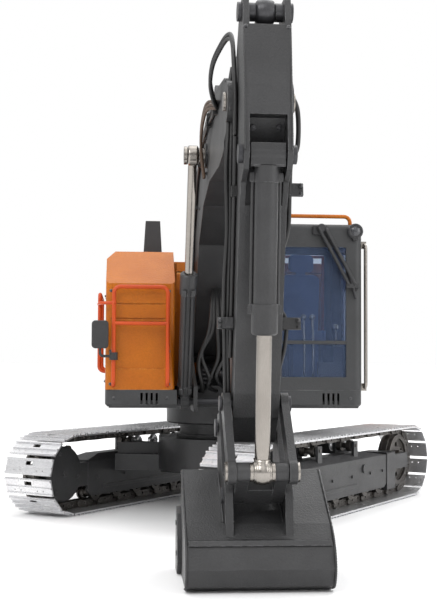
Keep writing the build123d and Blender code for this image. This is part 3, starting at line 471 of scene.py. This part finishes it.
def nose_loops():
    """Hoses over the boom nose, built in place and not attached to a body; the nose_hoses part is hidden.
    """
    nose = Part("nose_hose_loops", "boom_body", rubber, "hose_rubber")
    for i in range(2):
        g = 2.6 * i
        nose.tube([(BOOM_X - 19.6, 286, 291.5 + g), (BOOM_X - 22.0, 293, 294 + g),
                   (BOOM_X - 24.6, 302, 302 + g),
                   (BOOM_X - 24.0, 314, 311 + g), (BOOM_X - 20.5, 326, 318 + g),
                   (BOOM_X - 17.2, 338, 321 + g),
                   (BOOM_X - 15.6, 350, 316 + g), (BOOM_X - 15.4, 359 + g, 300),
                   (BOOM_X - 15.0, 362 + g, 280),
                   (BOOM_X - 14.8, 361.5 + g, 258)], 1.25)
    loops = nose.done(ride=False)
    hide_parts("nose_hoses")
    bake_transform(loops)


def feed_hoses():
    """Hoses from the deck up into the boom, built in place and not attached to a body."""
    lines = Part("boom_feed_hoses", "house", rubber, "hose_rubber")
    for x, sag, bow, r in ((-13, 0, -1.5, 1.7), (-9, 6, -3, 1.5), (-3, 2, 4, 1.7), (4, 9, 5, 1.5),
                           (10, 4, 1, 1.4)):
        lines.tube([(BOOM_X + x + 2, 48, 99), (BOOM_X + x + bow, 62 + sag, 103),
                    (BOOM_X + x - 2 - bow, 88 + sag, 107 + sag),
                   (BOOM_X + x - 3 + bow, 98, 128 + sag), (BOOM_X + x * 0.7, 95, 152),
                   (BOOM_X + x * 0.45, 84, 176),
                   (BOOM_X + x * 0.3, 72, 188)], r)
    supply = lines.done(ride=False)
    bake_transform(supply)


def swivel_joint():
    """Ribbed swivel on the deck with a fitting and two bolts beside it."""
    swivel = Part("swivel_joint", "house", MAT["pin_steel"], "pin_steel")
    ribs = [(0, 5.0)]
    for i in range(6):
        ribs += [(3 + 3.6 * i, 5.2), (3.2 + 3.6 * i, 6.6), (5.2 + 3.6 * i, 6.6), (5.4 + 3.6 * i, 5.2)]
    swivel.lathe((BOOM_X - 8, 40, 98), (0, 0, 1), ribs + [(25, 4.0), (26.5, 2.5)])
    swivel.lathe((BOOM_X + 6, 42, 98), (0, 0, 1), [(0, 3.4), (16, 3.4), (17, 4.4), (22, 4.4), (23, 2.0)])
    swivel.bolt((BOOM_X - 1, 48, 98), (0, 0, 1), 2.0, 3.0)
    swivel.bolt((BOOM_X + 12, 46, 98), (0, 0, 1), 2.0, 3.0)
    swivel.done()


def wiper_arms():
    """Wiper arms with blade, link and hub."""
    sweep = Part("wiper_arms", "house", MAT["black_plastic"], "black_plastic")
    for x0, x1, z0, z1 in ((67.0, 92.0, 236, 190), (72.5, 97.0, 236, 190)):
        sweep.tube([(x0, 109.4, z0), ((x0 + x1) / 2, 110.4, (z0 + z1) / 2), (x1, 109.4, z1)], 1.5, 8)
    sweep.tube([(88, 109.2, 207), (93.5, 108.9, 194), (97.5, 108.8, 179)], 1.2, 8)
    sweep.box((94.6, 109.0, 189.5), (10.5, 2.6, 3.6), 0, 0.6)
    sweep.lathe((69.5, 107.0, 236), (0, 1, 0), [(0, 3.6), (2.6, 3.6), (3.4, 2.8)], 20)
    sweep.done()


def cover_fittings():
    """Screws and latches of the covers, and the cap on the near box."""
    fix = Part("cover_screws", "house", MAT["pin_steel"], "pin_steel")
    for x in (-99, -52.5):
        for z in (110, 136, 184):
            fix.bolt((x, 104.0, z), (0, 1, 0), 0.9, 0.8)
    for b in (96, 60, 20, -14):
        fix.bolt((-103, b, 112), (-1, 0, 0), 0.9, 0.8)
        fix.bolt((-103, b, 180), (-1, 0, 0), 0.9, 0.8)
    for x in (-38, 40):
        fix.bolt((x, -216, 112), (0, -1, 0), 1.3, 1.0)
        fix.bolt((x, -216, 184), (0, -1, 0), 1.3, 1.0)
    for x, y in ((36, 98), (98, 98), (36, -12), (98, -12), (40, 50), (96, 50)):
        fix.bolt((x, y, 240), (0, 0, 1), 1.1, 0.8)
    for x in (-96, -54, 44, 94):
        fix.bolt((x, 104, 99), (0, 1, 0), 1.0, 0.9)
    fix.done()
    latch = Part("cover_latches", "house", MAT["black_plastic"], "black_plastic")
    latch.box((-103.6, 40, 150), (2.2, 12, 5))
    latch.box((-103.6, -60, 150), (2.2, 12, 5))
    latch.box((105.2, 78, 148), (2.4, 10, 3.0))
    latch.box((67, 62, 241.4), (14, 3, 2.6))
    latch.lathe((-76, -30, 219), (0, 0, 1), [(0, 7.5), (2.2, 7.5), (2.8, 6.6), (4.4, 6.4), (5.0, 5.4)], 24)
    latch.done()


def weld_beads():
    """Weld beads, and the bolts on the sides of the boom."""
    weld = Part("bucket_welds", "bucket_body", MAT["dark_paint"], "dark_paint")
    for x in (BOOM_X - 19.9, BOOM_X - 14.3, BOOM_X + 14.3, BOOM_X + 19.9):
        weld.tube([(x, 320, 61.0), (x, 338, 49.8), (x, 357, 37.6)], 0.75, 8, 26, 0.22)
    weld.tube([(BOOM_X - 40, 369.6, 27.0), (BOOM_X, 369.6, 27.0),
               (BOOM_X + 40, 369.6, 27.0)], 0.7, 8, 50, 0.2)
    for x in (BOOM_X - 41.6, BOOM_X + 41.6):
        weld.tube([(x, 317, 63.0), (x, 358, 36.8), (x, 370, 25.8), (x, 374, 14), (x, 370, 4.4),
                   (x, 361, 1.2)], 0.7, 8, 22, 0.2)
    weld.done()
    seams = Part("stick_welds", "stick_body", MAT["dark_paint"], "dark_paint")
    for x in (BOOM_X - 12.9, BOOM_X + 12.9):
        seams.tube([(x, 391.2, 312), (x, 396.2, 281), (x, 398.2, 264), (x, 400.6, 243)], 0.55, 8, 40, 0.2)
    seams.done()
    boomweld = Part("boom_welds", "boom_body", MAT["dark_paint"], "dark_paint")
    for x in (BOOM_X - 17.6, BOOM_X + 17.6):
        boomweld.tube([(x, 30, 204.6), (x, 62, 251.8), (x, 104, 287.8), (x, 150, 303.8), (x, 200, 308.8),
                       (x, 284, 305.2)],
                      0.6, 8, 60, 0.2)
    boomweld.done()
    plates = Part("boom_side_bolts", "boom_body", MAT["pin_steel"], "pin_steel")
    for b, z in ((196, 279), (170, 279), (183, 266), (183, 292), (330, 290), (60, 200), (110, 250)):
        plates.bolt((BOOM_X - 18, b, z), (-1, 0, 0), 1.1, 1.0)
        plates.bolt((BOOM_X + 18, b, z), (1, 0, 0), 1.1, 1.0)
    plates.done()


rod_ends()
stick_hoses()
boom_sleeve()
hub_caps()
cab_fittings()
nose_loops()
feed_hoses()
swivel_joint()
wiper_arms()
cover_fittings()
weld_beads()


# ---------------------------------------------------------------- stage, light, camera
FLOOR_HALF = 30
IMAGE = (437, 600)
CAMERA_PLACE = (-0.1006, -0.9060, 0.130)
CAMERA_TURN = math.radians(-4.78)
CAMERA_RISE = math.radians(3.05)
CAMERA_ROLL = math.radians(0.3)
FOCAL_LENGTH = 66.7
SKY_LEVELS = ((0.0, 0.30), (0.50, 0.34), (0.60, 0.50), (0.85, 0.92))
SKY_STRENGTH = 1.35


def make_floor():
    """Wide pale floor under the tracks."""
    h = FLOOR_HALF
    mesh = bpy.data.meshes.new("floor")
    mesh.from_pydata([(-h, -h, 0), (h, -h, 0), (h, h, 0), (-h, h, 0)], [], [(0, 1, 2, 3)])
    floor = bpy.data.objects.new("floor", mesh)
    scene.collection.objects.link(floor)
    material, tree = nodes_of("floor_paper")
    out = add(tree, "ShaderNodeOutputMaterial")
    paper = add(tree, "ShaderNodeBsdfPrincipled")
    tone = mix(tree, noise(tree, 3.0, 3.0), (0.94, 0.94, 0.94, 1), (0.92, 0.92, 0.925, 1))
    tree.links.new(tone, paper.inputs["Base Color"])
    paper.inputs["Roughness"].default_value = 0.9
    tree.links.new(paper.outputs[0], out.inputs[0])
    mesh.materials.append(material)


def make_sky():
    """Light that grows towards the top, with soft bands round the sides; the camera sees plain white."""
    world = bpy.data.worlds.new("studio")
    scene.world = world
    world.use_nodes = True
    tree = world.node_tree
    where = add(tree, "ShaderNodeTexCoord")
    split = add(tree, "ShaderNodeSeparateXYZ")
    tree.links.new(where.outputs["Generated"], split.inputs[0])
    shade = add(tree, "ShaderNodeValToRGB")
    stops = shade.color_ramp.elements
    while len(stops) < len(SKY_LEVELS):
        stops.new(0.5)
    for stop, (place, level) in zip(stops, SKY_LEVELS):
        stop.position = place
        stop.color = (level, level, level, 1)
    height = math_node(tree, "ADD", math_node(tree, "MULTIPLY", split.outputs["Z"], 0.5), 0.5)
    tree.links.new(height, shade.inputs[0])
    around = math_node(tree, "ARCTAN2", split.outputs["Y"], split.outputs["X"])
    phase = math_node(tree, "ADD", math_node(tree, "MULTIPLY", around, 5.0), 0.9)
    band = math_node(tree, "COSINE", phase, 0.0)
    band = math_node(tree, "ADD", math_node(tree, "MULTIPLY", band, 0.45), 1.0)
    light = math_node(tree, "MULTIPLY", shade.outputs[0], SKY_STRENGTH)
    light = math_node(tree, "MULTIPLY", light, band)
    path = add(tree, "ShaderNodeLightPath")
    seen = mix(tree, path.outputs["Is Camera Ray"], light, (1, 1, 1, 1))
    background = tree.nodes["Background"]
    tree.links.new(seen, background.inputs[0])
    background.inputs[1].default_value = 1.0


def lamp(name, place, target, size, power):
    data = bpy.data.lights.new(name, "AREA")
    data.shape = "RECTANGLE"
    data.size = size[0]
    data.size_y = size[1]
    data.energy = power
    obj = bpy.data.objects.new(name, data)
    scene.collection.objects.link(obj)
    obj.location = place
    obj.rotation_euler = (Vector(target) - Vector(place)).to_track_quat("-Z", "Y").to_euler()


def make_camera():
    data = bpy.data.cameras.new("camera")
    data.sensor_width = 36
    data.lens = FOCAL_LENGTH
    cam = bpy.data.objects.new("camera", data)
    scene.collection.objects.link(cam)
    turn = Matrix.Rotation(CAMERA_TURN, 4, "Z")
    rise = Matrix.Rotation(math.radians(90) + CAMERA_RISE, 4, "X")
    roll = Matrix.Rotation(CAMERA_ROLL, 4, "Z")
    cam.matrix_world = Matrix.Translation(CAMERA_PLACE) @ turn @ rise @ roll
    scene.camera = cam


make_floor()
make_sky()
lamp("key", (-0.9, -1.3, 1.3), (0, -0.1, 0.12), (0.9, 0.9), 12)
lamp("fill", (1.3, -1.1, 0.7), (0, -0.1, 0.15), (0.8, 1.0), 7)
lamp("top", (0.1, 0.3, 1.7), (0, 0, 0.1), (1.4, 1.4), 9)
lamp("rim", (0.9, 1.3, 0.9), (0, 0, 0.2), (0.8, 0.8), 8)
make_camera()
scene.render.resolution_x = IMAGE[0]
scene.render.resolution_y = IMAGE[1]
scene.render.resolution_percentage = 100
scene.render.engine = "CYCLES"
scene.cycles.samples = 128
scene.view_settings.view_transform = "Standard"
